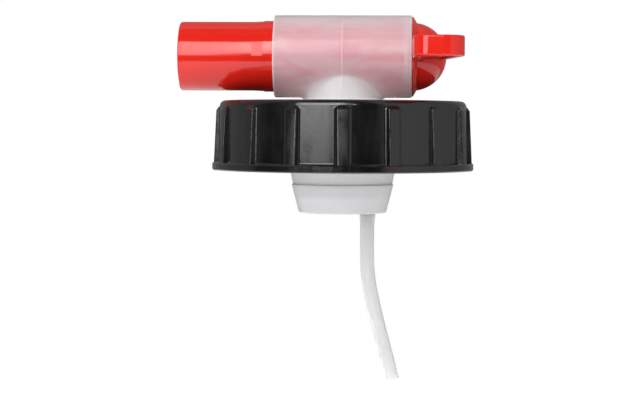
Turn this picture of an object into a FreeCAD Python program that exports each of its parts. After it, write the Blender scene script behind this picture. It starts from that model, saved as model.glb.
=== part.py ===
import FreeCAD, Part
import math
import os
from FreeCAD import Vector

# Water container tap: a screw cap clamps a natural tap body on the container's neck, and a
# rotary plug in the body's barrel opens the liquid way and the air way in one half turn.
# Millimetres. +Z runs out of the container along the cap's axis, the barrel lies along X with
# the spout at -X, the closed lever points to -Y. The origin is on the container's rim.

# Screw cap
cap_height = 18.5
cap_bore_radius = 30.5
cap_bore_lead_in = 0.6
cap_wall_foot = 2.8
cap_wall_top = 2.5
cap_foot_overhang = 1.7
cap_foot_height = 2.0
cap_foot_bevel = 0.3
cap_shoulder_radius = 1.5
cap_top_plate = 2.5
cap_inner_bevel = 0.8
ledge_radius = 24.5
ledge_drop = 1.3
ledge_plate = 2.0
ledge_underside_margin = 0.9
ledge_bead_width = 1.1
ledge_bead_height = 0.3
cap_hole_radius = 18.25
cap_hole_lip_round = 0.9

# Grip ribs round the cap
rib_count = 16
rib_first_angle = 1.9
rib_foot_rise = 1.3
rib_top_rise = 0.95
rib_foot_width = 3.7
rib_crest_width = 2.6
rib_below_top = 1.35
rib_corner_round = 1.2
rib_edge_round = 0.35
rib_root_depth = 0.5

# Neck gasket and the body's clamping flange
gasket_thickness = 1.6
gasket_funnel_gap = 0.4
flange_bore_gap = 2.5
flange_thickness = 1.8
flange_edge_bevel = 0.3
flange_cap_gap = 0.05

# Barrel and neck of the body
barrel_above_cap = 11.9
barrel_radius = 11.0
barrel_bore_radius = 9.2
barrel_length = 36.6
barrel_edge_bevel = 0.2
neck_side_inset = 1.4
neck_wall = 1.4
neck_barrel_fillet = 2.2
neck_foot_step = 1.2
neck_foot_bevel = 0.3
neck_foot_gap = 0.2

# Funnel below the neck
funnel_hole_gap = 0.45
funnel_step_radius = 13.35
funnel_below_cap_top = 1.6
funnel_step_below_cap = 3.6
funnel_wall = 1.43
funnel_disc = 1.8
funnel_edge_bevel = 0.3
spigot_inset = 1.15
spigot_length = 3.0
spigot_wall = 1.3

# Inlet cup
cup_rim_overhang = 0.35
cup_draft = 2.0
cup_height = 7.8
cup_wall = 1.44
cup_edge_bevel = 0.3
cup_fit_gap = 0.05

# Air way: a pipe down the funnel, a nipple under the cup and a tube pushed on it
vent_neck_inset = 2.85
vent_bore_radius = 1.5
vent_pipe_wall = 1.2
vent_web_thickness = 1.6
nipple_length = 6.0
nipple_wall = 0.55
nipple_tip_bevel = 0.4
tube_bore_radius = 1.3
tube_wall = 0.6
tube_nipple_gap = 0.02

# Rotary plug and spout
plug_gap = 0.05
plug_wall = 1.75
plug_end_gap = 0.05
spout_radius = 9.2
spout_beyond_barrel = 25.3
spout_straight = 19.6
spout_root_swell = 0.14
spout_mouth_bevel = 0.3
collar_rise = 0.14
collar_length = 2.7
bead_from_end = 0.56
bead_width = 1.04
bead_height = 0.25
window_radius = 6.65
window_end_gap = 0.15
dividing_wall = 1.2
divider_slot_gap = 0.27
duct_floor_height = -4.0
duct_floor_thickness = 1.2
slot_width = 3.66
slot_vent_offset = 0.55
slot_start_angle = 22.0
slot_end_angle = 110.0
port_window_offset = 0.4
port_duct_inset = 0.3

# Lever cap: skirt, dome and lever
skirt_inset = 0.35
skirt_lip_width = 0.35
skirt_width = 1.35
dome_bore_inset = 0.15
dome_centre_beyond_end = 0.25
lever_cap_spigot_length = 6.9
lever_cap_spigot_gap = 0.03
lever_cap_wall = 1.65
lever_cap_crown = 2.2
lever_cap_hollow_bevel = 1.5
drive_flat_depth = 1.2
lever_thickness = 5.2
lever_lift = 1.5
lever_length = 36.8
lever_barrel_gap = 0.25
lever_root_width = 7.31
lever_tip_width = 13.9
lever_outer_round = 5.4
lever_inner_round = 3.8
lever_edge_round = 0.5
panel_margin = 2.0
panel_depth = 0.6
panel_start = 12.4
panel_corner_round = 1.6

# Heights and places that follow
cap_top = (
    gasket_thickness + flange_thickness + flange_cap_gap + ledge_plate + ledge_drop
)
cap_foot = cap_top - cap_height
cap_wall_foot_radius = cap_bore_radius + cap_wall_foot
cap_wall_top_radius = cap_bore_radius + cap_wall_top
cap_foot_radius = cap_wall_foot_radius + cap_foot_overhang
rib_foot_crest_radius = cap_wall_foot_radius + rib_foot_rise
rib_top_crest_radius = cap_wall_top_radius + rib_top_rise
ledge_top = cap_top - ledge_drop
ledge_underside = ledge_top - ledge_plate
ledge_underside_radius = ledge_radius + ledge_underside_margin
flange_top = gasket_thickness + flange_thickness
flange_radius = cap_bore_radius - flange_bore_gap
barrel_axis = cap_top + barrel_above_cap
barrel_end = barrel_length / 2
neck_radius = barrel_radius - neck_side_inset
neck_foot_radius = neck_radius + neck_foot_step
neck_foot_top = barrel_axis - barrel_radius - neck_foot_gap
duct_radius = neck_radius - neck_wall
funnel_top = cap_top - funnel_below_cap_top
funnel_top_radius = cap_hole_radius - funnel_hole_gap
funnel_step = cap_foot - funnel_step_below_cap
funnel_taper = (funnel_top_radius - funnel_step_radius) / (funnel_top - funnel_step)
spigot_radius = funnel_step_radius - spigot_inset
spigot_end = funnel_step - spigot_length
cup_rim_radius = funnel_step_radius + cup_rim_overhang
cup_foot_radius = cup_rim_radius - cup_draft
cup_foot = funnel_step - cup_height
cup_taper = cup_draft / cup_height
cup_seat = spigot_end - cup_fit_gap
vent_x = neck_radius - vent_neck_inset
vent_pipe_radius = vent_bore_radius + vent_pipe_wall
tube_radius = tube_bore_radius + tube_wall
plug_radius = barrel_bore_radius - plug_gap
plug_bore_radius = plug_radius - plug_wall
spout_reach = barrel_end + spout_beyond_barrel
spout_root_radius = spout_radius + spout_root_swell
collar_radius = spout_root_radius + collar_rise
slot_x = vent_x + slot_vent_offset
divider_end = slot_x - slot_width / 2 - divider_slot_gap
divider_start = divider_end - dividing_wall
window_x = divider_start - window_end_gap - window_radius
port_x = window_x + port_window_offset
port_radius = duct_radius - port_duct_inset + port_x
lever_cap_face = barrel_end + plug_end_gap
skirt_lip_radius = barrel_radius - skirt_inset
skirt_end = lever_cap_face + skirt_width
dome_radius = barrel_bore_radius - dome_bore_inset
dome_centre_x = barrel_end + dome_centre_beyond_end
drive_flat_height = plug_bore_radius - drive_flat_depth

# Route of the vent tube's centreline, as it hangs: x and height below the cup's foot
vent_route = [
    (vent_x, 0.0),
    (6.65, 8.4),
    (6.85, 17.2),
    (8.85, 26.6),
    (11.40, 36.4),
    (13.85, 45.1),
]


BEVEL = "bevel"
TOUCHING = 1e-6
# How far a cutting solid reaches past the faces it goes through
CUT_PAST = 1.0
# Edges this close to a plane count as lying on it
NEAR = 0.01


def shaped_outline(corners, place):
    """Closed wire through (u, v) corners; place puts (u, v) in space.

    A corner's third value is the radius that rounds it. With a fourth value, BEVEL, the
    third is how far along each side it is cut straight.
    """
    points = [Vector(corner[0], corner[1], 0) for corner in corners]
    starts, middles, ends = [], [], []
    for index, corner in enumerate(corners):
        point = points[index]
        back = (points[index - 1] - point).normalize()
        ahead = (points[(index + 1) % len(points)] - point).normalize()
        size = corner[2] if len(corner) > 2 else 0
        setback = size
        middle = None
        if size and BEVEL not in corner:
            half = back.getAngle(ahead) / 2
            setback = size / math.tan(half)
            centre = point + (back + ahead).normalize() * (size / math.sin(half))
            middle = centre + (point - centre).normalize() * size
        starts.append(point + back * setback)
        middles.append(middle)
        ends.append(point + ahead * setback)
    edges = []
    for index, middle in enumerate(middles):
        before, start, end = [place(at.x, at.y) for at in (ends[index - 1], starts[index], ends[index])]
        if (start - before).Length > TOUCHING:
            edges.append(Part.makeLine(before, start))
        if middle:
            edges.append(Part.Arc(start, place(middle.x, middle.y), end).toShape())
        elif (end - start).Length > TOUCHING:
            edges.append(Part.makeLine(start, end))
    return Part.Wire(edges)


def turned_on_cap_axis(corners):
    """Solid of revolution round Z from (radius, height) corners."""
    wire = shaped_outline(corners, lambda radius, height: Vector(radius, 0, height))
    return Part.Face(wire).revolve(Vector(0, 0, 0), Vector(0, 0, 1), 360)


def turned_on_barrel_axis(corners):
    """Solid of revolution round the barrel's axis from (x, radius) corners."""
    wire = shaped_outline(corners, lambda x, radius: Vector(x, 0, barrel_axis + radius))
    return Part.Face(wire).revolve(Vector(0, 0, barrel_axis), Vector(1, 0, 0), 360)


def upright_cylinder(radius, bottom, top, x=0.0):
    return Part.makeCylinder(radius, top - bottom, Vector(x, 0, bottom))


def barrel_cylinder(radius, start, end):
    return Part.makeCylinder(
        radius, end - start, Vector(start, 0, barrel_axis), Vector(1, 0, 0)
    )


def block(low, high):
    size = Vector(*high) - Vector(*low)
    return Part.makeBox(size.x, size.y, size.z, Vector(*low))


def funnel_radius(height):
    return funnel_top_radius - funnel_taper * (funnel_top - height)


def cup_radius(height):
    return cup_foot_radius + cup_taper * (height - cup_foot)


def grip_rib():
    """One rib at +X: a drafted, round-topped boss trimmed to the cap's tapered crest."""
    rib_foot = cap_foot + cap_foot_height
    rib_top = cap_top - rib_below_top
    root_radius = cap_wall_top_radius - rib_root_depth

    def arch(radius, width):
        return shaped_outline(
            [
                (-width / 2, rib_foot),
                (-width / 2, rib_top, rib_corner_round),
                (width / 2, rib_top, rib_corner_round),
                (width / 2, rib_foot),
            ],
            lambda y, z: Vector(radius, y, z),
        )

    boss = Part.makeLoft(
        [arch(root_radius, rib_foot_width), arch(rib_foot_crest_radius, rib_crest_width)],
        True,
    )
    ring = turned_on_cap_axis(
        [
            (root_radius, rib_foot),
            (rib_foot_crest_radius, rib_foot),
            (rib_top_crest_radius, rib_top - rib_corner_round),
            (cap_wall_top_radius, rib_top),
            (root_radius, rib_top),
        ]
    )
    # The turned ring's seam is kept off the rib
    ring.rotate(Vector(0, 0, 0), Vector(0, 0, 1), 180)
    rib = boss.common(ring).removeSplitter()
    crest_edges = [
        edge
        for edge in rib.Edges
        if edge.BoundBox.XMin > cap_wall_top_radius - 0.1 and edge.BoundBox.ZLength > NEAR
    ]
    return rib.makeFillet(rib_edge_round, crest_edges)


def screw_cap():
    bead_outer = ledge_radius
    bead_inner = bead_outer - ledge_bead_width
    shell = turned_on_cap_axis(
        [
            (cap_hole_radius, ledge_underside),
            (cap_hole_radius, ledge_top, cap_hole_lip_round),
            (bead_inner, ledge_top),
            (bead_inner, ledge_top + ledge_bead_height),
            (bead_outer, ledge_top + ledge_bead_height),
            (bead_outer, cap_top, ledge_drop - ledge_bead_height),
            (cap_wall_top_radius, cap_top, cap_shoulder_radius),
            (cap_wall_foot_radius, cap_foot + cap_foot_height),
            (cap_foot_radius, cap_foot + cap_foot_height, cap_foot_bevel, BEVEL),
            (cap_foot_radius, cap_foot, cap_foot_bevel, BEVEL),
            (cap_bore_radius + cap_bore_lead_in, cap_foot),
            (cap_bore_radius, cap_foot + cap_bore_lead_in),
            (cap_bore_radius, cap_top - cap_top_plate, cap_inner_bevel, BEVEL),
            (ledge_underside_radius, cap_top - cap_top_plate),
            (ledge_underside_radius, ledge_underside),
        ]
    )
    rib = grip_rib()
    ribs = []
    for index in range(rib_count):
        copy = rib.copy()
        angle = rib_first_angle + 360.0 * index / rib_count
        copy.rotate(Vector(0, 0, 0), Vector(0, 0, 1), angle)
        ribs.append(copy)
    return shell.fuse(ribs)


def neck_gasket():
    inner = funnel_radius(gasket_thickness) + gasket_funnel_gap
    ring = upright_cylinder(flange_radius, 0, gasket_thickness)
    return ring.cut(upright_cylinder(inner, 0, gasket_thickness))


def funnel_shell():
    """Disc, funnel wall, clamping flange and the spigot that holds the cup."""
    inner_top = funnel_top - funnel_disc
    return turned_on_cap_axis(
        [
            (0, funnel_top),
            (funnel_top_radius, funnel_top, funnel_edge_bevel, BEVEL),
            (funnel_radius(flange_top), flange_top),
            (flange_radius, flange_top, flange_edge_bevel, BEVEL),
            (flange_radius, gasket_thickness),
            (funnel_radius(gasket_thickness), gasket_thickness),
            (funnel_step_radius, funnel_step),
            (spigot_radius, funnel_step),
            (spigot_radius, spigot_end),
            (spigot_radius - spigot_wall, spigot_end),
            (spigot_radius - spigot_wall, funnel_step),
            (funnel_radius(inner_top) - funnel_wall, inner_top),
            (0, inner_top),
        ]
    )


def tap_body():
    barrel = turned_on_barrel_axis(
        [
            (-barrel_end, 0),
            (-barrel_end, barrel_radius, barrel_edge_bevel, BEVEL),
            (barrel_end, barrel_radius, barrel_edge_bevel, BEVEL),
            (barrel_end, 0),
        ]
    )
    neck = upright_cylinder(neck_radius, funnel_top, barrel_axis)
    outside = barrel.fuse(neck)
    seams = [
        edge
        for edge in outside.Edges
        if not isinstance(edge.Curve, (Part.Line, Part.Circle))
    ]
    outside = outside.makeFillet(neck_barrel_fillet, seams)
    neck_foot = turned_on_cap_axis(
        [
            (0, funnel_top),
            (neck_foot_radius, funnel_top),
            (neck_foot_radius, neck_foot_top, neck_foot_bevel, BEVEL),
            (0, neck_foot_top),
        ]
    )
    outside = outside.fuse([neck_foot, funnel_shell()])
    duct = upright_cylinder(duct_radius, funnel_top - funnel_disc, barrel_axis)
    duct = duct.cut(barrel)
    vent_pipe = upright_cylinder(vent_pipe_radius, spigot_end, barrel_axis, vent_x)
    body = outside.cut(duct).fuse(vent_pipe)
    groove_start = barrel_end - bead_from_end - bead_width - plug_end_gap
    groove_end = barrel_end - bead_from_end + plug_end_gap
    return body.cut(
        [
            barrel_cylinder(barrel_bore_radius, -barrel_end, barrel_end),
            barrel_cylinder(barrel_bore_radius + bead_height, groove_start, groove_end),
            upright_cylinder(port_radius, funnel_top, barrel_axis, port_x),
            upright_cylinder(vent_bore_radius, spigot_end, barrel_axis, vent_x),
        ]
    )


def inlet_cup():
    rim_seat = cup_radius(cup_seat) - cup_wall
    shell = turned_on_cap_axis(
        [
            (spigot_radius + cup_fit_gap, funnel_step),
            (cup_rim_radius, funnel_step, cup_edge_bevel, BEVEL),
            (cup_foot_radius, cup_foot, cup_edge_bevel, BEVEL),
            (cup_foot_radius - cup_wall, cup_foot),
            (rim_seat, cup_seat),
            (spigot_radius + cup_fit_gap, cup_seat),
        ]
    )
    cup_space = turned_on_cap_axis(
        [
            (0, cup_seat),
            (cup_radius(cup_seat) - cup_wall / 2, cup_seat),
            (cup_foot_radius - cup_wall / 2, cup_foot),
            (0, cup_foot),
        ]
    )
    pipe = upright_cylinder(vent_pipe_radius, cup_foot, cup_seat, vent_x)
    web = block(
        (vent_x + vent_bore_radius, -vent_web_thickness / 2, cup_foot),
        (cup_rim_radius, vent_web_thickness / 2, cup_seat),
    ).common(cup_space)
    nipple_radius = tube_bore_radius - tube_nipple_gap
    nipple = upright_cylinder(nipple_radius, cup_foot - nipple_length, cup_foot, vent_x)
    tip = [edge for edge in nipple.Edges if edge.BoundBox.ZMax < cup_foot - nipple_length + NEAR]
    nipple = nipple.makeChamfer(nipple_tip_bevel, tip)
    return shell.fuse([pipe, web, nipple]).cut(
        [
            upright_cylinder(vent_bore_radius, cup_foot + cup_wall, cup_seat, vent_x),
            upright_cylinder(
                nipple_radius - nipple_wall,
                cup_foot - nipple_length,
                cup_foot + cup_wall,
                vent_x,
            ),
        ]
    )


def route_path(points, bend_share=0.45):
    """Straight runs joined by tangent arcs, each as large as its shorter run allows."""
    edges = []
    here = points[0]
    for before, corner, after in zip(points, points[1:], points[2:]):
        back = before - corner
        ahead = after - corner
        setback = bend_share * min(back.Length, ahead.Length)
        half_turn = (math.pi - back.getAngle(ahead)) / 2
        radius = setback / math.tan(half_turn)
        print("vent tube bend radius %.1f mm" % radius)
        start = corner + back.normalize() * setback
        end = corner + ahead.normalize() * setback
        towards_centre = (back + ahead).normalize()
        centre = corner + towards_centre * math.hypot(radius, setback)
        edges.append(Part.makeLine(here, start))
        edges.append(Part.Arc(start, centre - towards_centre * radius, end).toShape())
        here = end
    edges.append(Part.makeLine(here, points[-1]))
    return Part.Wire(edges)


def vent_tube():
    points = [Vector(x, 0, cup_foot - drop) for x, drop in vent_route]
    path = route_path(points)

    def swept(radius):
        section = Part.Wire(Part.makeCircle(radius, points[0], points[1] - points[0]))
        return path.makePipeShell([section], True, False)

    tube = swept(tube_radius).cut(swept(tube_bore_radius))
    section_area = math.pi * (tube_radius**2 - tube_bore_radius**2)
    print(
        "vent tube length %.2f mm, volume over section times length %.5f"
        % (path.Length, tube.Volume / (section_area * path.Length))
    )
    return tube


def air_slot():
    """Slot round part of the plug's wall, with round ends, over the air port's side."""
    reach = plug_radius + CUT_PAST
    start = plug_bore_radius - CUT_PAST
    end_turn = math.degrees(slot_width / 2 / plug_radius)
    first = -slot_start_angle + end_turn
    last = slot_end_angle - end_turn
    section = shaped_outline(
        [
            (slot_x - slot_width / 2, start),
            (slot_x + slot_width / 2, start),
            (slot_x + slot_width / 2, reach),
            (slot_x - slot_width / 2, reach),
        ],
        lambda x, radius: Vector(x, 0, barrel_axis + radius),
    )
    pivot = Vector(0, 0, barrel_axis)
    turn_axis = Vector(-1, 0, 0)
    band = Part.Face(section)
    band.rotate(pivot, turn_axis, first)
    slot = band.revolve(pivot, turn_axis, last - first)
    ends = []
    for angle in (first, last):
        end = upright_cylinder(slot_width / 2, barrel_axis, barrel_axis + reach, slot_x)
        end.rotate(pivot, turn_axis, angle)
        ends.append(end.common(barrel_cylinder(reach, divider_end, barrel_end)))
    core = barrel_cylinder(start, divider_end, barrel_end)
    return slot.fuse([end.cut(core) for end in ends])


def drive_flat_cut(radius, start, end):
    """Round bar with the flat that lets the lever cap turn the plug."""
    bar = barrel_cylinder(radius, start, end)
    flat = block(
        (start, -radius, barrel_axis - drive_flat_height),
        (end, radius, barrel_axis + radius),
    )
    return bar.common(flat)


def spout_plug():
    collar_start = -barrel_end - plug_end_gap - collar_length
    bead_end = barrel_end - bead_from_end
    outside = turned_on_barrel_axis(
        [
            (-spout_reach, 0),
            (-spout_reach, spout_radius, spout_mouth_bevel, BEVEL),
            (-spout_reach + spout_straight, spout_radius),
            (collar_start, spout_root_radius),
            (collar_start, collar_radius),
            (-barrel_end - plug_end_gap, collar_radius),
            (-barrel_end - plug_end_gap, plug_radius),
            (bead_end - bead_width, plug_radius),
            (bead_end - bead_width, plug_radius + bead_height),
            (bead_end, plug_radius + bead_height),
            (bead_end, plug_radius),
            (barrel_end, plug_radius),
            (barrel_end, 0),
        ]
    )
    floor_top = barrel_axis + duct_floor_height
    bore = barrel_cylinder(plug_bore_radius, -spout_reach, divider_start)
    liquid_way = bore.common(
        block(
            (-spout_reach, -plug_radius, floor_top),
            (divider_start, plug_radius, barrel_axis + plug_radius),
        )
    )
    air_way = barrel_cylinder(plug_bore_radius, -spout_reach, divider_end).common(
        block(
            (-spout_reach, -plug_radius, barrel_axis - plug_radius),
            (divider_end, plug_radius, floor_top - duct_floor_thickness),
        )
    )
    chamber_end = lever_cap_face - lever_cap_spigot_length
    return outside.cut(
        [
            liquid_way,
            air_way,
            barrel_cylinder(plug_bore_radius, divider_end, chamber_end),
            drive_flat_cut(plug_bore_radius, chamber_end, barrel_end),
            upright_cylinder(window_radius, barrel_axis, barrel_axis + 2 * plug_radius, window_x),
            air_slot(),
        ]
    )


def lever_outline():
    """Corners of the lever seen from above: root, inner edge, tip, outer edge."""
    inner = barrel_end + lever_barrel_gap
    return [
        (inner, 0),
        (inner, -lever_length, lever_inner_round),
        (inner + lever_tip_width, -lever_length, lever_outer_round),
        (inner + lever_root_width, 0),
    ]


def lever_plate():
    bottom = barrel_axis + lever_lift - lever_thickness / 2
    wire = shaped_outline(lever_outline(), lambda x, y: Vector(x, y, bottom))
    plate = Part.Face(wire).extrude(Vector(0, 0, lever_thickness))
    rims = [
        edge
        for edge in plate.Edges
        if edge.BoundBox.ZLength < NEAR and edge.BoundBox.YMin < -NEAR
    ]
    return plate.makeFillet(lever_edge_round, rims)


def lever_panel(side):
    """Recess in one face of the lever, a margin inside its outline; side is 1 or -1."""
    face_height = barrel_axis + lever_lift + side * lever_thickness / 2
    low = min(face_height, face_height - side * panel_depth)
    outline = Part.Face(shaped_outline(lever_outline(), lambda x, y: Vector(x, y, low)))
    inset = Part.Face(outline.makeOffset2D(-panel_margin))
    panel = inset.extrude(Vector(0, 0, panel_depth))
    panel = panel.cut(
        block(
            (barrel_end, -panel_start, low - CUT_PAST),
            (barrel_end + lever_tip_width, CUT_PAST, low + panel_depth + CUT_PAST),
        )
    )
    corners = [
        edge
        for edge in panel.Edges
        if edge.BoundBox.ZLength > panel_depth / 2 and edge.BoundBox.YMin > -panel_start - NEAR
    ]
    return panel.makeFillet(panel_corner_round, corners)


def lever_cap():
    skirt = turned_on_barrel_axis(
        [
            (lever_cap_face, 0),
            (lever_cap_face, skirt_lip_radius),
            (lever_cap_face + skirt_lip_width, skirt_lip_radius),
            (skirt_end, math.sqrt(dome_radius**2 - (skirt_end - dome_centre_x) ** 2)),
            (skirt_end, 0),
        ]
    )
    dome = Part.makeSphere(dome_radius, Vector(dome_centre_x, 0, barrel_axis))
    dome = dome.common(
        barrel_cylinder(dome_radius, lever_cap_face, dome_centre_x + dome_radius)
    )
    spigot = drive_flat_cut(
        plug_bore_radius - lever_cap_spigot_gap,
        lever_cap_face - lever_cap_spigot_length,
        lever_cap_face,
    )
    spigot = spigot.common(
        block(
            (0, -plug_radius, barrel_axis - drive_flat_height + lever_cap_spigot_gap),
            (lever_cap_face, plug_radius, barrel_axis + plug_radius),
        )
    )
    hollow_radius = drive_flat_height - lever_cap_wall
    hollow_end = dome_centre_x + dome_radius - lever_cap_crown
    hollow = turned_on_barrel_axis(
        [
            (0, 0),
            (0, hollow_radius),
            (hollow_end, hollow_radius, lever_cap_hollow_bevel, BEVEL),
            (hollow_end, 0),
        ]
    )
    outside = skirt.fuse([dome, spigot, lever_plate()])
    return outside.cut([hollow, lever_panel(1), lever_panel(-1)])


def export(name, shape):
    shape = shape.removeSplitter()
    if shape.ShapeType == "Compound" and len(shape.Solids) == 1:
        shape = shape.Solids[0]
    if not shape.isValid() or len(shape.Solids) != 1:
        raise RuntimeError("%s has %d solids or a fault" % (name, len(shape.Solids)))
    shape.exportStep("parts/%s.step" % name)
    print("%-12s volume %9.1f mm3, %3d faces" % (name, shape.Volume, len(shape.Faces)))


os.makedirs("parts", exist_ok=True)
export("screw_cap", screw_cap())
export("tap_body", tap_body())
export("neck_gasket", neck_gasket())
export("inlet_cup", inlet_cup())
export("vent_tube", vent_tube())
export("spout_plug", spout_plug())
export("lever_cap", lever_cap())
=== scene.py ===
import math

import bpy
from mathutils import Matrix, Vector


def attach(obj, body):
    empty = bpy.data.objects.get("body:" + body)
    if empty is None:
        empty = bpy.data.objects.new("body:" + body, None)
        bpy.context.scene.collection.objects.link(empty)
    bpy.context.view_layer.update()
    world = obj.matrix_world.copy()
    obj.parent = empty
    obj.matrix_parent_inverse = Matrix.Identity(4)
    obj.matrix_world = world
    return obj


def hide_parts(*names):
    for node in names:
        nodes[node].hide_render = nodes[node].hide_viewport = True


# Water container tap. Everything is in metres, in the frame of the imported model:
# +Z out of the container, +X along the barrel to the dome, the closed lever to -Y.
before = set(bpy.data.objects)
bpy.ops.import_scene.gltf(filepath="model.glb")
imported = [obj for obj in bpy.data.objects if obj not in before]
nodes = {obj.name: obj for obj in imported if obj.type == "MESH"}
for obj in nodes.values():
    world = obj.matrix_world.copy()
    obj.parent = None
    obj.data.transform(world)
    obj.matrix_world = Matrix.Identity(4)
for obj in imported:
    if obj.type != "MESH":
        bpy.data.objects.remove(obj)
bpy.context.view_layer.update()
scene = bpy.context.scene
mm = 0.001
noiseSpan = (0.3, 0.7)  # most of a noise texture's values lie between these

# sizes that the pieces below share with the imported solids, in mm
barrel = {"axisHeight": 18.65, "radius": 11.0}
neck = {"radius": 9.6, "footRadius": 10.8, "footTop": 7.45}
funnelDisc = {"radius": 17.8, "top": 5.15}


# small tools for every piece

def linearColour(hexText):
    channels = [int(hexText[at:at + 2], 16) / 255 for at in (1, 3, 5)]
    return [c / 12.92 if c <= 0.04045 else ((c + 0.055) / 1.055) ** 2.4 for c in channels] + [1.0]


def addNode(tree, kind, settings=None, links=None):
    # a setting may be a hex colour, and a link may start at a node's first output
    node = tree.nodes.new(kind)
    for name, value in (settings or {}).items():
        if isinstance(value, str) and value.startswith("#"):
            value = linearColour(value)
        if isinstance(name, str) and hasattr(node, name):
            setattr(node, name, value)
        else:
            node.inputs[name].default_value = value
    for name, source in (links or {}).items():
        tree.links.new(getattr(source, "outputs", [source])[0], node.inputs[name])
    return node


def startMaterial(name):
    material = bpy.data.materials.new(name)
    material.use_nodes = True
    tree = material.node_tree
    tree.nodes.clear()
    metres = addNode(tree, "ShaderNodeTexCoord").outputs["Object"]
    # the patterns' place is in mm, so a scale of 1 / 4 makes features 4 mm across
    settings = {"operation": "SCALE", "Scale": 1 / mm}
    place = addNode(tree, "ShaderNodeVectorMath", settings, {0: metres})
    return material, tree, place


def finishMaterial(tree, settings, links):
    surface = addNode(tree, "ShaderNodeBsdfPrincipled", settings, links)
    addNode(tree, "ShaderNodeOutputMaterial", links={"Surface": surface})


def multiplyFades(tree, fades):
    # each fade takes a value's range, from low to high, to two shares; all are multiplied
    product = None
    for value, low, high, shareLow, shareHigh in fades:
        fade = addNode(tree, "ShaderNodeMapRange", {
            "From Min": low, "From Max": high, "To Min": shareLow, "To Max": shareHigh,
        }, {"Value": value})
        if product:
            fade = addNode(
                tree, "ShaderNodeMath", {"operation": "MULTIPLY"}, {0: product, 1: fade})
        product = fade
    return product


def dress(name, material):
    mesh = nodes[name].data
    mesh.materials.clear()
    mesh.materials.append(material)


def meshObject(name, vertices, faces, body, material, smooth=True):
    mesh = bpy.data.meshes.new(name)
    mesh.from_pydata([tuple(v) for v in vertices], [], faces)
    mesh.materials.append(material)
    mesh.validate()
    if smooth:
        mesh.polygons.foreach_set("use_smooth", [True] * len(mesh.polygons))
    piece = bpy.data.objects.new(name, mesh)
    scene.collection.objects.link(piece)
    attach(piece, body)
    return piece


# camera, fitted to the side view of the photograph
camera = {
    "position": (16.4, -462.5, 0.43),
    "yaw": 0.0485,     # towards -X
    "pitch": 0.0438,   # downwards
    "roll": 0.0052,
    "focalPixels": 1721.6,
    "imageWidth": 640,
    "sensor": 36.0,
    "nearest": 10.0,
}


def placeCamera(c):
    forward = Vector((
        -math.sin(c["yaw"]) * math.cos(c["pitch"]),
        math.cos(c["yaw"]) * math.cos(c["pitch"]),
        -math.sin(c["pitch"]),
    ))
    right = forward.cross(Vector((0, 0, 1))).normalized()
    up = right.cross(forward)
    right, up = (
        right * math.cos(c["roll"]) + up * math.sin(c["roll"]),
        up * math.cos(c["roll"]) - right * math.sin(c["roll"]),
    )
    turn = Matrix((right, up, -forward)).transposed().to_4x4()
    data = bpy.data.cameras.new("camera")
    data.sensor_width = c["sensor"]
    data.lens = c["focalPixels"] * c["sensor"] / c["imageWidth"]
    data.clip_start = c["nearest"] * mm
    piece = bpy.data.objects.new("camera", data)
    piece.matrix_world = Matrix.Translation(Vector(c["position"]) * mm) @ turn
    scene.collection.objects.link(piece)
    scene.camera = piece


placeCamera(camera)
print("camera placed")


# vent tube: soft hose pushed on the nipple, hanging and keeping the bend of its coil
ventTube = {
    "route": [                  # X and Z
        (6.75, -23.15), (6.65, -31.55), (6.85, -40.35),
        (8.85, -49.75), (11.40, -59.55), (13.85, -68.25),
    ],
    "length": 45.95,
    "diameter": 3.8,
    "bore": 2.6,
    "swell": 0.2,               # stretched over the nipple's root
    "swellFade": (0.8, 3.6),
    "tipRound": 0.12,
    "sides": 40,
    "stepsPerPoint": 16,
    "colour": ("#D8D8DA", "#E3E3E3"),
    "roughness": (0.32, 0.44),
    "cloud": 6.0,               # mm across the cloudy patches
    "drawLine": 0.7,            # mm between the lines that the die drew
    "drawStretch": (1, 1, 0.06),
    "drawDepth": 0.03,
}


def tubeMaterial(t):
    # soft low density polyethylene hose, extruded: waxy, milky, faint lines along its length
    material, tree, place = startMaterial("extruded soft polyethylene hose")
    cloud = addNode(tree, "ShaderNodeTexNoise", {"Scale": 1 / t["cloud"]}, {"Vector": place})
    tint = addNode(tree, "ShaderNodeMix", {
        "data_type": "RGBA", 6: t["colour"][0], 7: t["colour"][1],
    }, {0: cloud}).outputs[2]
    waxy = addNode(tree, "ShaderNodeMapRange", {
        "From Min": noiseSpan[0], "From Max": noiseSpan[1],
        "To Min": t["roughness"][0], "To Max": t["roughness"][1],
    }, {"Value": cloud})
    drawn = addNode(
        tree, "ShaderNodeVectorMath", {"operation": "MULTIPLY", 1: t["drawStretch"]}, {0: place})
    lines = addNode(
        tree, "ShaderNodeTexNoise", {"Scale": 1 / t["drawLine"], "Detail": 3.0}, {"Vector": drawn})
    settings = {"Strength": 0.1, "Distance": t["drawDepth"] * mm}
    bump = addNode(tree, "ShaderNodeBump", settings, {"Height": lines})
    finishMaterial(tree, {
        "IOR": 1.2, "Transmission Weight": 0.3,
        "Subsurface Weight": 0.9, "Subsurface Radius": (1, 1, 1), "Subsurface Scale": 3 * mm,
    }, {"Base Color": tint, "Roughness": waxy, "Normal": bump})
    return material


def tubeRadius(t, travelled):
    start, end = t["swellFade"]
    share = min(1, max(0, (travelled - start) / (end - start)))
    return t["diameter"] / 2 + t["swell"] * (1 - share * share * (3 - 2 * share))


def tubeLine(t):
    curve = bpy.data.curves.new("ventRoute", "CURVE")
    curve.dimensions = "3D"
    curve.resolution_u = t["stepsPerPoint"]
    spline = curve.splines.new("NURBS")
    spline.points.add(len(t["route"]) - 1)
    for point, (x, z) in zip(spline.points, t["route"]):
        point.co = (x * mm, 0, z * mm, 1)
    spline.order_u = 3
    spline.use_endpoint_u = True
    guide = bpy.data.objects.new("ventRoute", curve)
    line = [v.co.copy() for v in bpy.data.meshes.new_from_object(guide).vertices]
    bpy.data.objects.remove(guide)
    return line


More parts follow.
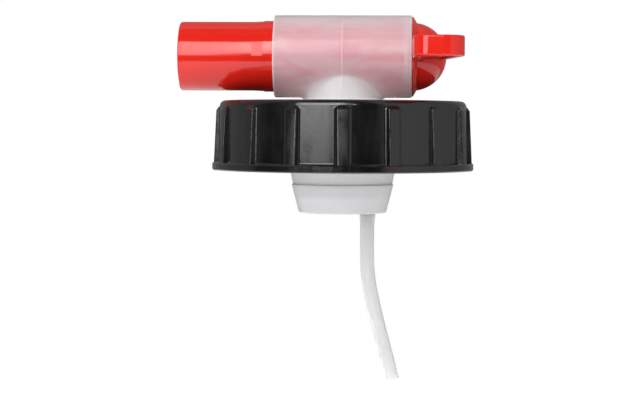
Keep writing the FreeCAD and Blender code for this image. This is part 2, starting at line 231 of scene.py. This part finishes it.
def makeVentTube(t):
    line = tubeLine(t)
    last = len(line) - 1
    travelled = [0.0]
    for before, after in zip(line, line[1:]):
        travelled.append(travelled[-1] + (after - before).length / mm)
    side = Vector((0, 1, 0))
    sides = t["sides"]

    def ring(index, radius, back=0.0):
        ahead = (line[min(index + 1, last)] - line[max(index - 1, 0)]).normalized()
        across = side.cross(ahead).normalized()
        middle = line[index] - ahead * back * mm
        turns = (2 * math.pi * k / sides for k in range(sides))
        return [
            middle + (side * math.cos(a) + across * math.sin(a)) * radius * mm for a in turns
        ]

    inner = t["bore"] / 2
    tip = t["tipRound"]
    outer = tubeRadius(t, travelled[last])
    rings = [ring(index, tubeRadius(t, travelled[index])) for index in range(last)]
    # the cut end's two edges are rounded
    rings += [
        ring(last, outer, tip), ring(last, outer - tip),
        ring(last, inner + tip), ring(last, inner, tip),
    ]
    rings += [ring(index, inner) for index in range(last - 1, -1, -1)]
    vertices = [v for one in rings for v in one]
    faces = []
    for a in range(len(rings)):
        b = (a + 1) % len(rings)
        for k in range(sides):
            n = (k + 1) % sides
            faces.append((a * sides + k, a * sides + n, b * sides + n, b * sides + k))
    piece = meshObject("airTube", vertices, faces, "tap", tubeMaterial(t))
    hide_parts("vent_tube")
    print("air tube", round(travelled[-1], 2), "mm")


makeVentTube(ventTube)


# cap: black polypropylene, moulded, semi-gloss
cap = {
    "colour": ("#0A0A0B", "#0F0F10"),
    "roughness": (0.13, 0.24),
    "wear": (0.82, 1.15),        # where patches and marks together go from glossy to dull
    "handlingPatch": 7,          # mm across a patch dulled by handling
    "dragMark": 1.4,             # mm between the marks that the tool drew down the skirt
    "dragStretch": (1, 1, 0.12),
    "skin": 0.8,                 # mm between the waves of the moulded skin
    "skinDepth": 0.005,
    # the tool's small corner radii beside the ribs and over the foot, rounded in the shading
    "ribs": {"count": 16, "first": 1.9, "halfWidth": 1.68, "corner": 0.75, "top": (4.3, 5.0)},
    "foot": {"top": -9.75, "corner": 0.5},
    "outerSkin": 32.9,           # mm from the axis; the skirt's outer face lies beyond
}


def capCorners(tree, place, c):
    # the roundings' height in mm, each drawn as a parabola
    ribs, foot = c["ribs"], c["foot"]
    x, y, z = addNode(tree, "ShaderNodeSeparateXYZ", links={0: place}).outputs
    level = addNode(
        tree, "ShaderNodeVectorMath", {"operation": "MULTIPLY", 1: (1, 1, 0)}, {0: place})
    fromAxis = addNode(
        tree, "ShaderNodeVectorMath", {"operation": "LENGTH"}, {0: level}).outputs["Value"]
    angle = addNode(tree, "ShaderNodeMath", {"operation": "ARCTAN2"}, {0: y, 1: x})
    turned = addNode(tree, "ShaderNodeMath", {
        "operation": "SUBTRACT", 1: math.radians(ribs["first"]),
    }, {0: angle})
    nearest = addNode(
        tree, "ShaderNodeMath", {"operation": "PINGPONG", 1: math.pi / ribs["count"]}, {0: turned})
    fromMiddle = addNode(
        tree, "ShaderNodeMath", {"operation": "MULTIPLY"}, {0: nearest, 1: fromAxis})
    rises = []
    for away, start, corner in (
        (fromMiddle, ribs["halfWidth"], ribs["corner"]),
        (z, foot["top"], foot["corner"]),
    ):
        inside = addNode(tree, "ShaderNodeMapRange", {
            "From Min": start, "From Max": start + corner,
            "To Min": math.sqrt(corner / 2), "To Max": 0,
        }, {"Value": away})
        rises.append(addNode(
            tree, "ShaderNodeMath", {"operation": "MULTIPLY"}, {0: inside, 1: inside}))
    besideRib, overFoot = rises
    underTop = addNode(tree, "ShaderNodeMapRange", {
        "From Min": ribs["top"][0], "From Max": ribs["top"][1], "To Min": 1, "To Max": 0,
    }, {"Value": z})
    besideRib = addNode(
        tree, "ShaderNodeMath", {"operation": "MULTIPLY"}, {0: besideRib, 1: underTop})
    rise = addNode(
        tree, "ShaderNodeMath", {"operation": "MAXIMUM"}, {0: besideRib, 1: overFoot})
    outside = addNode(
        tree, "ShaderNodeMath", {"operation": "GREATER_THAN", 1: c["outerSkin"]}, {0: fromAxis})
    return addNode(tree, "ShaderNodeMath", {"operation": "MULTIPLY"}, {0: rise, 1: outside})


def capMaterial(c):
    # moulded polypropylene with carbon black: deep black, glossy off a polished tool, dulled in
    # patches by hands, with fine drag marks down the skirt
    material, tree, place = startMaterial("moulded black polypropylene")
    patches = addNode(
        tree, "ShaderNodeTexNoise", {"Scale": 1 / c["handlingPatch"], "Detail": 4.0},
        {"Vector": place})
    dragged = addNode(
        tree, "ShaderNodeVectorMath", {"operation": "MULTIPLY", 1: c["dragStretch"]}, {0: place})
    marks = addNode(
        tree, "ShaderNodeTexNoise", {"Scale": 1 / c["dragMark"], "Detail": 6.0, "Roughness": 0.7},
        {"Vector": dragged})
    tint = addNode(tree, "ShaderNodeMix", {
        "data_type": "RGBA", 6: c["colour"][0], 7: c["colour"][1],
    }, {0: patches}).outputs[2]
    wear = addNode(tree, "ShaderNodeMath", {"operation": "ADD"}, {0: patches, 1: marks})
    dulled = addNode(tree, "ShaderNodeMapRange", {
        "From Min": c["wear"][0], "From Max": c["wear"][1],
        "To Min": c["roughness"][0], "To Max": c["roughness"][1],
    }, {"Value": wear})
    skin = addNode(tree, "ShaderNodeTexNoise", {"Scale": 1 / c["skin"]}, {"Vector": place})
    waves = addNode(tree, "ShaderNodeMath", {"operation": "ADD"}, {0: skin, 1: marks})
    height = addNode(
        tree, "ShaderNodeMath", {"operation": "MULTIPLY_ADD", 1: c["skinDepth"]},
        {0: waves, 2: capCorners(tree, place, c)})
    bump = addNode(tree, "ShaderNodeBump", {"Strength": 1.0, "Distance": mm}, {"Height": height})
    finishMaterial(tree, {"IOR": 1.7}, {"Base Color": tint, "Roughness": dulled, "Normal": bump})
    return material


capPlastic = capMaterial(cap)
dress("screw_cap", capPlastic)

# cap thread: right-handed buttress thread inside the skirt, out of the photograph's sight
capThread = {
    "boreRadius": 30.62,         # a little inside the wall, so no gap shows
    "crestRadius": 29.25,
    "pitch": 6.0,
    "turns": 1.6,
    "start": -9.9,
    "stepDegrees": 4,
    "runOutDegrees": 24,
    # height above the flank's middle at the wall and at the crest, bearing flank first
    "profile": (("wall", 1.45), ("crest", 1.05), ("crest", 0.35), ("wall", -1.35)),
}


def makeCapThread(t):
    steps = int(t["turns"] * 360 / t["stepDegrees"])
    vertices, faces = [], []
    for step in range(steps + 1):
        degrees = step * t["stepDegrees"]
        fromEnd = min(degrees, t["turns"] * 360 - degrees)
        rise = min(1, fromEnd / t["runOutDegrees"])
        angle = math.radians(degrees)
        z = t["start"] + t["pitch"] * degrees / 360
        for spot, height in t["profile"]:
            radius = t["boreRadius"]
            if spot == "crest":
                radius -= (t["boreRadius"] - t["crestRadius"]) * rise
            corner = Vector((radius * math.cos(angle), radius * math.sin(angle), z + height))
            vertices.append(corner * mm)
    count = len(t["profile"])
    for step in range(steps):
        for k in range(count):
            n = (k + 1) % count
            a, b = step * count, (step + 1) * count
            faces.append((a + k, b + k, b + n, a + n))
    faces.append(tuple(range(count - 1, -1, -1)))
    faces.append(tuple(steps * count + k for k in range(count)))
    meshObject("capThread", vertices, faces, "cap", capPlastic, smooth=False)


makeCapThread(capThread)
print("cap and its thread")


# natural body and inlet cup: milky, see-through polyethylene
naturalPlastic = {
    "colour": ("#F1F0F2", "#F7F6F8"),
    # the wall is clearer round the red plug, and its colour there is painted pink: a painted glow
    # of the plug seen through it
    "plugGlowPaint": ("#EEC4CC", "#F1D9DE"),
    "topLightPaint": "#E6DADC",             # painted light: paler along its top, as if lit through from above
    "transmission": (0.35, 0.58),         # elsewhere, round the plug
    "clearFrom": 0.4,                     # share of the painted glow where the wall starts to clear
    "discBacklightPaint": "#EBE6DD",                    # painted light: the flange under the cap's lip, painted cream as if lit through from below
    "discHeight": (4.9, 5.3),             # mm up, the band painted cream
    "cupFootShadePaint": "#D2D1D3",                 # painted shade: the cup's foot, painted darker towards the bottom against the floor's light
    "cupShadeFade": (-22.9, -16.9),            # mm up, where the painted shade fades out
    "glowFade": (11.04, 11.25),           # mm from the barrel's axis, its skin to the neck's
    "endFade": (17.95, 18.1),             # mm along the barrel, where its end rings stay white
    "topLightFade": (24.5, 29.6),              # mm up, where the painted top light comes in
    # painted paler lines where the edges of the plug's groove show through the wall, in mm along
    # the barrel
    "grooves": {"at": (16.5, 17.2, 17.85), "width": 0.2, "glow": 0.3},
    # the hollow neck behind the wall is painted in as a white arch with a paler painted halo round
    # it, its edges in shares of its size
    "arch": {
        "foot": 7.65, "halfWidth": 9.6, "height": 5.55,
        "edge": (0.98, 1.02), "glow": 0.36, "rim": 1.38, "rimGlow": 0.6,
    },
    "flowMark": 4.0,                      # mm across the streaks where the melt met
    "flowStretch": (0.4, 1, 1),
    "flowSwirl": 0.9,
    "streak": (0.35, 0.62),
    "roughness": (0.285, 0.34),
    "depth": 0.8,                         # weight of the light that wanders inside
}


def paintedPlugGlow(tree, place, p):
    # share of painted pink glow where the red plug shows through the wall, cut back by the painted
    # neck arch and the painted groove lines
    arch, grooves = p["arch"], p["grooves"]
    x = addNode(tree, "ShaderNodeSeparateXYZ", links={0: place}).outputs["X"]
    along = addNode(tree, "ShaderNodeMath", {"operation": "ABSOLUTE"}, {0: x})
    fromAxis = addNode(tree, "ShaderNodeVectorMath", {
        "operation": "MULTIPLY_ADD", 1: (0, 1, 1), 2: (0, 0, -barrel["axisHeight"]),
    }, {0: place})
    fromNeck = addNode(tree, "ShaderNodeVectorMath", {
        "operation": "MULTIPLY_ADD", 1: (1 / arch["halfWidth"], 0, 1 / arch["height"]),
        2: (0, 0, -arch["foot"] / arch["height"]),
    }, {0: place})
    fromAxis, fromNeck = (
        addNode(tree, "ShaderNodeVectorMath", {"operation": "LENGTH"}, {0: way}).outputs["Value"]
        for way in (fromAxis, fromNeck)
    )
    fades = [
        (fromAxis, *p["glowFade"], 1, 0),
        (along, *p["endFade"], 1, 0),
        (fromNeck, *arch["edge"], arch["glow"], 1),
        (fromNeck, arch["edge"][1], arch["rim"], arch["rimGlow"], 1),
    ]
    for at in grooves["at"]:
        away = addNode(tree, "ShaderNodeMath", {"operation": "SUBTRACT", 1: at}, {0: x})
        away = addNode(tree, "ShaderNodeMath", {"operation": "ABSOLUTE"}, {0: away})
        fades.append((away, 0, grooves["width"], grooves["glow"], 1))
    return multiplyFades(tree, fades)


def naturalMaterial(name, p):
    # moulded natural high density polyethylene: waxy and milky, with flow streaks along the barrel
    material, tree, place = startMaterial(name)
    stretched = addNode(
        tree, "ShaderNodeVectorMath", {"operation": "MULTIPLY", 1: p["flowStretch"]}, {0: place})
    flow = addNode(
        tree, "ShaderNodeTexNoise",
        {"Scale": 1 / p["flowMark"], "Detail": 3.0, "Distortion": p["flowSwirl"]},
        {"Vector": stretched})
    z = addNode(tree, "ShaderNodeSeparateXYZ", links={0: place}).outputs["Z"]
    glow = paintedPlugGlow(tree, place, p)

    streaks = addNode(tree, "ShaderNodeMapRange", {
        "From Min": p["streak"][0], "From Max": p["streak"][1],
    }, {"Value": flow})
    # the plug's painted pink glow, streaked along the flow
    pink = addNode(tree, "ShaderNodeMix", {
        "data_type": "RGBA", 6: p["plugGlowPaint"][0], 7: p["plugGlowPaint"][1],
    }, {0: streaks}).outputs[2]
    # painted light: the top of the barrel is painted paler
    topLightShare = addNode(tree, "ShaderNodeMapRange", {
        "From Min": p["topLightFade"][0], "From Max": p["topLightFade"][1],
    }, {"Value": z})
    pink = addNode(
        tree, "ShaderNodeMix", {"data_type": "RGBA", 7: p["topLightPaint"]},
        {0: topLightShare, 6: pink}).outputs[2]

    white = addNode(tree, "ShaderNodeMix", {
        "data_type": "RGBA", 6: p["colour"][0], 7: p["colour"][1],
    }, {0: flow}).outputs[2]
    # painted light: the disc's band is painted cream, as if lit through from below
    low, high = p["discHeight"]
    onBacklitDisc = addNode(tree, "ShaderNodeMath", {
        "operation": "COMPARE", 1: (low + high) / 2, 2: (high - low) / 2,
    }, {0: z})
    # painted shade: the cup is painted darker towards its foot
    cupShadeShare = addNode(tree, "ShaderNodeMapRange", {
        "From Min": p["cupShadeFade"][0], "From Max": p["cupShadeFade"][1], "To Min": 1, "To Max": 0,
    }, {"Value": z})
    for share, colour in ((onBacklitDisc, p["discBacklightPaint"]), (cupShadeShare, p["cupFootShadePaint"])):
        white = addNode(
            tree, "ShaderNodeMix", {"data_type": "RGBA", 7: colour},
            {0: share, 6: white}).outputs[2]
    # painted glow: the painted pink is laid where the plug shows through
    tint = addNode(
        tree, "ShaderNodeMix", {"data_type": "RGBA"}, {0: glow, 6: white, 7: pink}).outputs[2]

    waxy = addNode(tree, "ShaderNodeMapRange", {
        "From Min": noiseSpan[0], "From Max": noiseSpan[1],
        "To Min": p["roughness"][0], "To Max": p["roughness"][1],
    }, {"Value": flow})
    links = {"Base Color": tint, "Roughness": waxy}
    if p["depth"]:
        # the real see-through follows the same share as the painted glow
        links["Transmission Weight"] = addNode(tree, "ShaderNodeMapRange", {
            "From Min": p["clearFrom"],
            "To Min": p["transmission"][0], "To Max": p["transmission"][1],
        }, {"Value": glow})
    finishMaterial(tree, {
        "IOR": 1.2, "Subsurface Weight": p["depth"], "Subsurface Radius": (1, 0.95, 0.95),
        "Subsurface Scale": 4 * mm, "Coat Weight": 0.26, "Coat Roughness": 0.09, "Coat IOR": 1.5,
    }, links)
    return material


naturalBody = naturalMaterial("moulded natural polyethylene", naturalPlastic)
dress("tap_body", naturalBody)
dress("inlet_cup", naturalBody)

# parting line: the seam that the two halves of the mould leave round the body, in the plane X = 0
partingLine = {
    "width": 0.24,
    "height": 0.05,
    "sunk": 0.05,
    "shoulder": 0.5,       # share of the width that is flat on top
    "barrelSteps": 60,
    "footRound": 0.3,      # bevel at the neck's foot
    "filletReach": 0.57,   # how far the neck's fillet runs down the neck
    "filletAngle": 0.057,  # and round the barrel
    "filletBulge": 0.073,  # and stands out from the sharp corner
    # too thin to be seen into, so no light wanders inside it; painted shade: its colours are a
    # shade darker than the body's, and it keeps the body's painted plug glow and painted top light
    "plastic": {
        "depth": 0.0,
        "colour": ("#E9E8EA", "#EFEEF0"), "plugGlowPaint": ("#E8C0C7", "#EAD3D8"),
        "topLightPaint": "#DDD1D4",
    },
}


def partingPath(p):
    # half of the seam's way, in Y and Z, from the disc's rim over the neck to the barrel's top
    r, axis = barrel["radius"], barrel["axisHeight"]
    foot = neck["footRadius"]
    meet = math.asin(neck["radius"] / r)   # from straight down to where neck and barrel meet
    corner = Vector((-neck["radius"], axis - r * math.cos(meet)))
    outward = Vector((-1 - math.sin(meet), -math.cos(meet))).normalized()
    path = [
        Vector((-funnelDisc["radius"], funnelDisc["top"])),
        Vector((-foot, funnelDisc["top"])),
        Vector((-foot, neck["footTop"] - p["footRound"])),
        Vector((-foot + p["footRound"], neck["footTop"])),
        Vector((-neck["radius"], neck["footTop"])),
        corner - Vector((0, p["filletReach"])),
        corner + outward * p["filletBulge"],
    ]
    first = meet + p["filletAngle"]
    for step in range(p["barrelSteps"] + 1):
        angle = first + (math.pi - first) * step / p["barrelSteps"]
        path.append(Vector((-r * math.sin(angle), axis - r * math.cos(angle))))
    return path


def makePartingLine(p):
    half = partingPath(p)
    line = half + [Vector((-v.x, v.y)) for v in reversed(half[:-1])]
    last = len(line) - 1
    w = p["width"] / 2
    flat = w * p["shoulder"]
    section = ((-w, -p["sunk"]), (-flat, p["height"]), (flat, p["height"]), (w, -p["sunk"]))
    vertices, faces = [], []
    for index, here in enumerate(line):
        ahead = line[min(index + 1, last)] - line[max(index - 1, 0)]
        normal = Vector((-ahead.y, ahead.x)).normalized()
        for x, rise in section:
            at = here + normal * rise
            vertices.append(Vector((x, at.x, at.y)) * mm)
    count = len(section)
    for index in range(last):
        for k in range(count):
            n = (k + 1) % count
            a, b = index * count, (index + 1) * count
            faces.append((a + k, a + n, b + n, b + k))
    faces.append(tuple(range(count - 1, -1, -1)))
    faces.append(tuple(last * count + k for k in range(count)))
    plastic = {**naturalPlastic, **p["plastic"]}
    material = naturalMaterial("moulding seam of natural polyethylene", plastic)
    meshObject("partingLine", vertices, faces, "tap", material, smooth=False)


makePartingLine(partingLine)
print("natural body and its parting line")


# gasket: cut from rubber sheet
gasket = {"colour": ("#161616", "#242425"), "dust": 1.5, "dustDepth": 0.04}


def gasketMaterial(g):
    # EPDM rubber sheet: matt and slightly dusty
    material, tree, place = startMaterial("EPDM rubber sheet")
    dust = addNode(
        tree, "ShaderNodeTexNoise", {"Scale": 1 / g["dust"], "Detail": 5.0}, {"Vector": place})
    tint = addNode(tree, "ShaderNodeMix", {
        "data_type": "RGBA", 6: g["colour"][0], 7: g["colour"][1],
    }, {0: dust}).outputs[2]
    settings = {"Strength": 0.3, "Distance": g["dustDepth"] * mm}
    bump = addNode(tree, "ShaderNodeBump", settings, {"Height": dust})
    finishMaterial(tree, {"IOR": 1.52, "Roughness": 0.75}, {"Base Color": tint, "Normal": bump})
    return material


dress("neck_gasket", gasketMaterial(gasket))
print("gasket")


# plug and lever: red polyethylene, glossy, with spark-eroded panels in the lever
redPlastic = {
    "colour": ("#C61E15", "#CC2217"),
    "panelColour": ("#D84A3F", "#E26459"),
    "roughness": (0.08, 0.13),
    "panelRoughness": 0.24,
    "cloud": 9.0,            # mm across the clouds in the colour
    "skin": 1.4,             # mm between the waves of the moulded skin
    "skinDepth": 0.0036,
    "sparkGrain": 0.38,      # mm, coarser than the real erosion so that it shows
    "sparkDepth": 0.06,
    "panelMiddle": 20.15,    # height of the lever's middle plane
    "panelFloor": 2.0,       # from the middle plane to either panel's floor
    "panelMargin": 0.03,
    "panelFacing": 0.9,      # how squarely a floor looks along Z, of 1
    "panelStart": 12.4,      # from the barrel's axis to the panels
}


def leverPanels(tree, place, p):
    # 1 on the floors of the lever's two panels, 0 elsewhere
    parts = addNode(tree, "ShaderNodeSeparateXYZ", links={0: place}).outputs
    fromMiddle = addNode(
        tree, "ShaderNodeMath", {"operation": "SUBTRACT", 1: p["panelMiddle"]}, {0: parts["Z"]})
    fromMiddle = addNode(tree, "ShaderNodeMath", {"operation": "ABSOLUTE"}, {0: fromMiddle})
    onFloor = addNode(tree, "ShaderNodeMath", {
        "operation": "COMPARE", 1: p["panelFloor"], 2: p["panelMargin"],
    }, {0: fromMiddle})
    pastStart = addNode(
        tree, "ShaderNodeMath", {"operation": "LESS_THAN", 1: -p["panelStart"]}, {0: parts["Y"]})
    facing = addNode(tree, "ShaderNodeTexCoord").outputs["Normal"]
    facing = addNode(tree, "ShaderNodeSeparateXYZ", links={0: facing}).outputs["Z"]
    facing = addNode(tree, "ShaderNodeMath", {"operation": "ABSOLUTE"}, {0: facing})
    level = addNode(
        tree, "ShaderNodeMath", {"operation": "GREATER_THAN", 1: p["panelFacing"]}, {0: facing})
    panels = onFloor
    for share in (pastStart, level):
        panels = addNode(
            tree, "ShaderNodeMath", {"operation": "MULTIPLY"}, {0: panels, 1: share})
    return panels


def redMaterial(p):
    # moulded red polyethylene: bright, glossy, slightly waxy at its edges
    material, tree, place = startMaterial("moulded red polyethylene")
    panels = leverPanels(tree, place, p)
    cloud = addNode(
        tree, "ShaderNodeTexNoise", {"Scale": 1 / p["cloud"], "Detail": 3.0}, {"Vector": place})
    spark = addNode(
        tree, "ShaderNodeTexNoise",
        {"Scale": 1 / p["sparkGrain"], "Detail": 4.0, "Roughness": 0.65}, {"Vector": place})
    glossy = addNode(tree, "ShaderNodeMix", {
        "data_type": "RGBA", 6: p["colour"][0], 7: p["colour"][1],
    }, {0: cloud}).outputs[2]
    pits = addNode(
        tree, "ShaderNodeMapRange", {"From Min": 0.35, "From Max": 0.65}, {"Value": spark})
    matt = addNode(tree, "ShaderNodeMix", {
        "data_type": "RGBA", 6: p["panelColour"][0], 7: p["panelColour"][1],
    }, {0: pits}).outputs[2]
    tint = addNode(
        tree, "ShaderNodeMix", {"data_type": "RGBA"}, {0: panels, 6: glossy, 7: matt}).outputs[2]
    polished = addNode(tree, "ShaderNodeMapRange", {
        "From Min": noiseSpan[0], "From Max": noiseSpan[1],
        "To Min": p["roughness"][0], "To Max": p["roughness"][1],
    }, {"Value": cloud})
    rougher = addNode(tree, "ShaderNodeMath", {
        "operation": "MULTIPLY_ADD", 1: p["panelRoughness"] - p["roughness"][1],
    }, {0: panels, 2: polished})
    skin = addNode(tree, "ShaderNodeTexNoise", {"Scale": 1 / p["skin"]}, {"Vector": place})
    waves = addNode(
        tree, "ShaderNodeMath", {"operation": "MULTIPLY", 1: p["skinDepth"]}, {0: skin})
    eroded = addNode(tree, "ShaderNodeMath", {"operation": "MULTIPLY"}, {0: spark, 1: panels})
    height = addNode(
        tree, "ShaderNodeMath", {"operation": "MULTIPLY_ADD", 1: p["sparkDepth"]},
        {0: eroded, 2: waves})
    bump = addNode(tree, "ShaderNodeBump", {"Strength": 0.6, "Distance": mm}, {"Height": height})
    finishMaterial(tree, {"IOR": 1.52}, {"Base Color": tint, "Roughness": rougher, "Normal": bump})
    return material


redPolyethylene = redMaterial(redPlastic)
dress("spout_plug", redPolyethylene)
dress("lever_cap", redPolyethylene)

# raised words on the lever's two panels: each shows when the lever stands that way
leverWords = {
    "words": (
        # name, text, middle (mm), towards the word's right, towards its top
        ("leverWordOff", "OFF", (26.4, -29.7, 22.15), (0, -1, 0), (1, 0, 0)),
        ("leverWordOn", "ON", (26.4, -29.7, 18.15), (0, 1, 0), (1, 0, 0)),
    ),
    "letterHeight": 2.9,
    "raised": 0.3,
    "sunk": 0.08,
    "embolden": 0.012,
    "spacing": 1.08,
    "curveSteps": 6,
}


def makeLeverWord(p, name, text, middle, rightWay, topWay):
    letters = bpy.data.curves.new(name, "FONT")
    letters.body = text
    letters.offset = p["embolden"]
    letters.space_character = p["spacing"]
    letters.extrude = 0.5  # only to part the two faces, which are set below
    letters.resolution_u = p["curveSteps"]
    maker = bpy.data.objects.new(name, letters)
    mesh = bpy.data.meshes.new_from_object(maker)
    bpy.data.objects.remove(maker)
    low = [min(v.co[k] for v in mesh.vertices) for k in range(2)]
    high = [max(v.co[k] for v in mesh.vertices) for k in range(2)]
    scale = p["letterHeight"] / (high[1] - low[1])
    right, top = Vector(rightWay), Vector(topWay)
    outward = right.cross(top)
    vertices = []
    for v in mesh.vertices:
        u = (v.co.x - (low[0] + high[0]) / 2) * scale
        w = (v.co.y - (low[1] + high[1]) / 2) * scale
        rise = p["raised"] if v.co.z > 0 else -p["sunk"]
        vertices.append((Vector(middle) + right * u + top * w + outward * rise) * mm)
    faces = [tuple(polygon.vertices) for polygon in mesh.polygons]
    meshObject(name, vertices, faces, "plug", redPolyethylene, smooth=False)


for word in leverWords["words"]:
    makeLeverWord(leverWords, *word)
print("plug, lever and its words")


# studio: pale floor, pale surroundings, dark room behind the camera, two soft lamps
studio = {
    "floor": {
        "height": -120.0,
        "radius": 400.0,
        "sides": 96,
        "colour": ("#F4F4F3", "#F8F8F8"),
        "fibre": 4,             # mm across the paper's clouds
        "lift": 0.5,            # the floor's own light to the camera, so that it stays white
        "glow": 0.36,           # the floor's own light on the object
    },
    "surroundings": {           # pale walls, brighter to the right
        "azimuth": 132.0,
        "lobe": 0.25,               # how sharply the bright side ends
        "level": 0.27,
        "brightSide": 0.57,
        "ceiling": 0.6,
        "ceilingFrom": 0.6,         # of a height of 1 straight up
        "fill": 0.45,               # soft light from everywhere, too weak to see in a gloss
        "overhead": (0.95, 0.99),   # between these heights the ceiling opens to the dark
        "overheadLevel": 0.15,
    },
    "room": {                   # the dark room behind the camera
        "azimuth": 201.0,
        "halfWidth": 59.0,
        "lowest": -17.0,
        "highest": 76.0,
        "sideEdge": 0.06,
        "edge": 0.02,
        "level": 0.022,
    },
    "lamps": (
        # name, azimuth, elevation, distance, width, height (mm), radiance
        ("sideSoftbox", 203.5, 24.6, 900, 533, 760, 4.65),
        ("frontSoftbox", 181.0, 27.7, 900, 190, 662, 4.4),
    ),
}


def direction(azimuth, elevation):
    a, e = math.radians(azimuth), math.radians(elevation)
    return Vector((math.sin(a) * math.cos(e), math.cos(a) * math.cos(e), math.sin(e)))


def whiteRays(tree, path):
    # the rays that see the white background: straight from the camera and through clear plastic
    return addNode(tree, "ShaderNodeMath", {"operation": "MAXIMUM"}, {
        0: path.outputs["Is Camera Ray"], 1: path.outputs["Is Transmission Ray"],
    })


def makeFloor(f):
    turns = [2 * math.pi * k / f["sides"] for k in range(f["sides"])]
    rim = [(math.cos(a) * f["radius"], math.sin(a) * f["radius"], f["height"]) for a in turns]
    mesh = bpy.data.meshes.new("floor")
    mesh.from_pydata([tuple(c * mm for c in corner) for corner in rim], [], [range(f["sides"])])
    material, tree, place = startMaterial("matt white paper sweep")
    fibre = addNode(
        tree, "ShaderNodeTexNoise", {"Scale": 1 / f["fibre"], "Detail": 3.0}, {"Vector": place})
    tint = addNode(tree, "ShaderNodeMix", {
        "data_type": "RGBA", 6: f["colour"][0], 7: f["colour"][1],
    }, {0: fibre}).outputs[2]
    seen = whiteRays(tree, addNode(tree, "ShaderNodeLightPath"))
    light = addNode(
        tree, "ShaderNodeMapRange", {"To Min": f["glow"], "To Max": f["lift"]}, {"Value": seen})
    finishMaterial(tree, {
        "Roughness": 0.9, "Specular IOR Level": 0.2, "Emission Color": (1, 1, 1, 1),
    }, {"Base Color": tint, "Emission Strength": light})
    mesh.materials.append(material)
    floor = bpy.data.objects.new("floor", mesh)
    scene.collection.objects.link(floor)


def makeWorld(s):
    room, walls = s["room"], s["surroundings"]
    world = bpy.data.worlds.new("studio")
    scene.world = world
    world.use_nodes = True
    tree = world.node_tree
    tree.nodes.clear()
    way = addNode(tree, "ShaderNodeTexCoord").outputs["Generated"]
    height = addNode(tree, "ShaderNodeSeparateXYZ", links={0: way}).outputs["Z"]
    level = addNode(
        tree, "ShaderNodeVectorMath", {"operation": "MULTIPLY", 1: (1, 1, 0)}, {0: way})
    level = addNode(tree, "ShaderNodeVectorMath", {"operation": "NORMALIZE"}, {0: level})
    towardsRoom, towardsBright = (
        addNode(tree, "ShaderNodeVectorMath", {
            "operation": "DOT_PRODUCT", 1: direction(azimuth, 0),
        }, {0: level}).outputs["Value"]
        for azimuth in (room["azimuth"], walls["azimuth"])
    )

    side = math.cos(math.radians(room["halfWidth"]))
    low, high = (math.sin(math.radians(room[name])) for name in ("lowest", "highest"))
    soft, edge = room["sideEdge"], room["edge"]
    dark = multiplyFades(tree, [
        (towardsRoom, side - soft, side + soft, 0, 1),
        (height, low - edge, low + edge, 0, 1),
        (height, high - edge, high + edge, 1, 0),
    ])
    pale = addNode(tree, "ShaderNodeMapRange", {
        "From Min": walls["lobe"], "To Min": walls["level"], "To Max": walls["brightSide"],
    }, {"Value": towardsBright})
    ceiling = addNode(tree, "ShaderNodeMapRange", {
        "From Min": walls["ceilingFrom"], "To Max": walls["ceiling"],
    }, {"Value": height})
    pale = addNode(tree, "ShaderNodeMath", {"operation": "MAXIMUM"}, {0: pale, 1: ceiling})
    overhead = addNode(tree, "ShaderNodeMapRange", {
        "From Min": walls["overhead"][0], "From Max": walls["overhead"][1],
        "To Min": 1, "To Max": walls["overheadLevel"],
    }, {"Value": height})
    outsideRoom = addNode(
        tree, "ShaderNodeMath", {"operation": "SUBTRACT", 0: 1.0}, {1: dark})
    for share in (overhead, outsideRoom):
        pale = addNode(tree, "ShaderNodeMath", {"operation": "MULTIPLY"}, {0: pale, 1: share})
    lit = addNode(
        tree, "ShaderNodeMath", {"operation": "MAXIMUM", 1: room["level"]}, {0: pale})
    path = addNode(tree, "ShaderNodeLightPath")
    lit = addNode(tree, "ShaderNodeMath", {
        "operation": "MULTIPLY_ADD", 1: walls["fill"],
    }, {0: path.outputs["Is Diffuse Ray"], 2: lit})
    strength = addNode(
        tree, "ShaderNodeMath", {"operation": "MAXIMUM"}, {0: whiteRays(tree, path), 1: lit})
    background = addNode(
        tree, "ShaderNodeBackground", {"Color": (1, 1, 1, 1)}, {"Strength": strength})
    addNode(tree, "ShaderNodeOutputWorld", links={"Surface": background})


def makeLamps(s):
    for name, azimuth, elevation, distance, width, height, radiance in s["lamps"]:
        lamp = bpy.data.lights.new(name, "AREA")
        lamp.shape = "RECTANGLE"
        lamp.size = width * mm
        lamp.size_y = height * mm
        lamp.energy = radiance * math.pi * width * height * mm * mm
        piece = bpy.data.objects.new(name, lamp)
        towards = direction(azimuth, elevation)
        piece.location = towards * distance * mm
        piece.rotation_euler = towards.to_track_quat("Z", "Y").to_euler()
        piece.visible_camera = False
        scene.collection.objects.link(piece)


makeFloor(studio["floor"])
makeWorld(studio)
makeLamps(studio)
scene.cycles.max_bounces = 32  # light wanders long inside milky plastic
scene.cycles.diffuse_bounces = 12
scene.cycles.transmission_bounces = 24
scene.cycles.glossy_bounces = 12
scene.view_settings.view_transform = "Standard"
print("studio lit")
